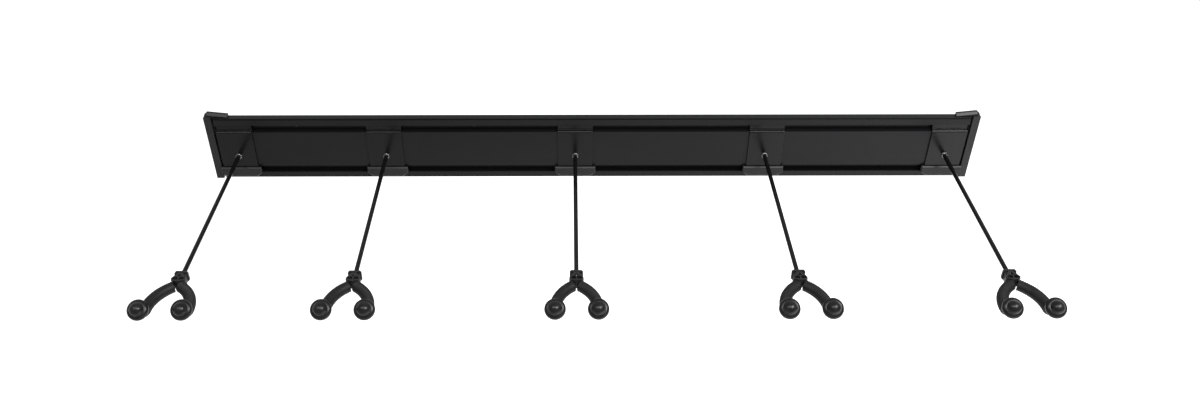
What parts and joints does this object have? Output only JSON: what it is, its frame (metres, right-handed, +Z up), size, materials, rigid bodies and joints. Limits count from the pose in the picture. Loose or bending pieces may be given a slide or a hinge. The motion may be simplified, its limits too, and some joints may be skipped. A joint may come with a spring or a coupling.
{
  "type": "guitar rack",
  "caption": "Wall rail with hook-on hangers that slide along it; each has a long arm and a padded swivelling yoke that holds a guitar by its neck.",
  "frame": {"origin": "middle of the rail's back face, which lies on the wall", "axes": "+X along the rail to the right as seen from the room, +Y into the wall, +Z up"},
  "size_m": [1.32, 0.4436, 0.1289],
  "materials": {
    "rail_anodised": "black anodised extrusion, satin",
    "cap_plastic": "moulded black plastic, fine grain",
    "coated_steel": "smooth black powder coat, semi-gloss",
    "foot_plastic": "moulded black plastic, sparked grain",
    "hub_plastic": "moulded black plastic, satin",
    "sleeve_rubber": "black ribbed foam rubber tube",
    "tip_rubber": "smooth moulded black rubber, soft sheen",
    "spring_steel": "bright spring steel"
  },
  "bodies": {
    "wall_rail": {"rail": "rail_anodised", "end_cap_left": "cap_plastic", "end_cap_right": "cap_plastic"},
    "hanger_1": {"hanger_plate_1": "coated_steel", "foot_1": "foot_plastic", "arm_rod_1": "coated_steel", "retaining_clip_1": "spring_steel"},
    "yoke_1": {"swivel_hub_1": "hub_plastic", "yoke_wire_left_1": "coated_steel", "yoke_wire_right_1": "coated_steel", "sleeve_left_1": "sleeve_rubber", "sleeve_right_1": "sleeve_rubber", "rubber_tip_left_1": "tip_rubber", "rubber_tip_right_1": "tip_rubber"},
    "hanger_2": {"hanger_plate_2": "coated_steel", "foot_2": "foot_plastic", "arm_rod_2": "coated_steel", "retaining_clip_2": "spring_steel"},
    "yoke_2": {"swivel_hub_2": "hub_plastic", "yoke_wire_left_2": "coated_steel", "yoke_wire_right_2": "coated_steel", "sleeve_left_2": "sleeve_rubber", "sleeve_right_2": "sleeve_rubber", "rubber_tip_left_2": "tip_rubber", "rubber_tip_right_2": "tip_rubber"},
    "hanger_3": {"hanger_plate_3": "coated_steel", "foot_3": "foot_plastic", "arm_rod_3": "coated_steel", "retaining_clip_3": "spring_steel"},
    "yoke_3": {"swivel_hub_3": "hub_plastic", "yoke_wire_left_3": "coated_steel", "yoke_wire_right_3": "coated_steel", "sleeve_left_3": "sleeve_rubber", "sleeve_right_3": "sleeve_rubber", "rubber_tip_left_3": "tip_rubber", "rubber_tip_right_3": "tip_rubber"},
    "hanger_4": {"hanger_plate_4": "coated_steel", "foot_4": "foot_plastic", "arm_rod_4": "coated_steel", "retaining_clip_4": "spring_steel"},
    "yoke_4": {"swivel_hub_4": "hub_plastic", "yoke_wire_left_4": "coated_steel", "yoke_wire_right_4": "coated_steel", "sleeve_left_4": "sleeve_rubber", "sleeve_right_4": "sleeve_rubber", "rubber_tip_left_4": "tip_rubber", "rubber_tip_right_4": "tip_rubber"},
    "hanger_5": {"hanger_plate_5": "coated_steel", "foot_5": "foot_plastic", "arm_rod_5": "coated_steel", "retaining_clip_5": "spring_steel"},
    "yoke_5": {"swivel_hub_5": "hub_plastic", "yoke_wire_left_5": "coated_steel", "yoke_wire_right_5": "coated_steel", "sleeve_left_5": "sleeve_rubber", "sleeve_right_5": "sleeve_rubber", "rubber_tip_left_5": "tip_rubber", "rubber_tip_right_5": "tip_rubber"}
  },
  "joints": [
    {"name": "hanger_1_slide", "type": "slide", "parent": "wall_rail", "child": "hanger_1", "axis": [1, 0, 0], "range_m": [0, 0.076]},
    {"name": "yoke_1_swivel", "type": "hinge", "parent": "hanger_1", "child": "yoke_1", "pos_m": [-0.613, -0.3359, -0.0145], "axis": [0, 1, 0], "range_deg": [-25, 25]},
    {"name": "hanger_2_slide", "type": "slide", "parent": "wall_rail", "child": "hanger_2", "axis": [1, 0, 0], "range_m": [-0.076, 0.112]},
    {"name": "yoke_2_swivel", "type": "hinge", "parent": "hanger_2", "child": "yoke_2", "pos_m": [-0.357, -0.3359, -0.0145], "axis": [0, 1, 0], "range_deg": [-25, 25]},
    {"name": "hanger_3_slide", "type": "slide", "parent": "wall_rail", "child": "hanger_3", "axis": [1, 0, 0], "range_m": [-0.112, 0.112]},
    {"name": "yoke_3_swivel", "type": "hinge", "parent": "hanger_3", "child": "yoke_3", "pos_m": [-0.029, -0.3359, -0.0145], "axis": [0, 1, 0], "range_deg": [-25, 25]},
    {"name": "hanger_4_slide", "type": "slide", "parent": "wall_rail", "child": "hanger_4", "axis": [1, 0, 0], "range_m": [-0.112, 0.104]},
    {"name": "yoke_4_swivel", "type": "hinge", "parent": "hanger_4", "child": "yoke_4", "pos_m": [0.3, -0.3359, -0.0145], "axis": [0, 1, 0], "range_deg": [-25, 25]},
    {"name": "hanger_5_slide", "type": "slide", "parent": "wall_rail", "child": "hanger_5", "axis": [1, 0, 0], "range_m": [-0.104, 0]},
    {"name": "yoke_5_swivel", "type": "hinge", "parent": "hanger_5", "child": "yoke_5", "pos_m": [0.613, -0.3359, -0.0145], "axis": [0, 1, 0], "range_deg": [-25, 25]}
  ]
}
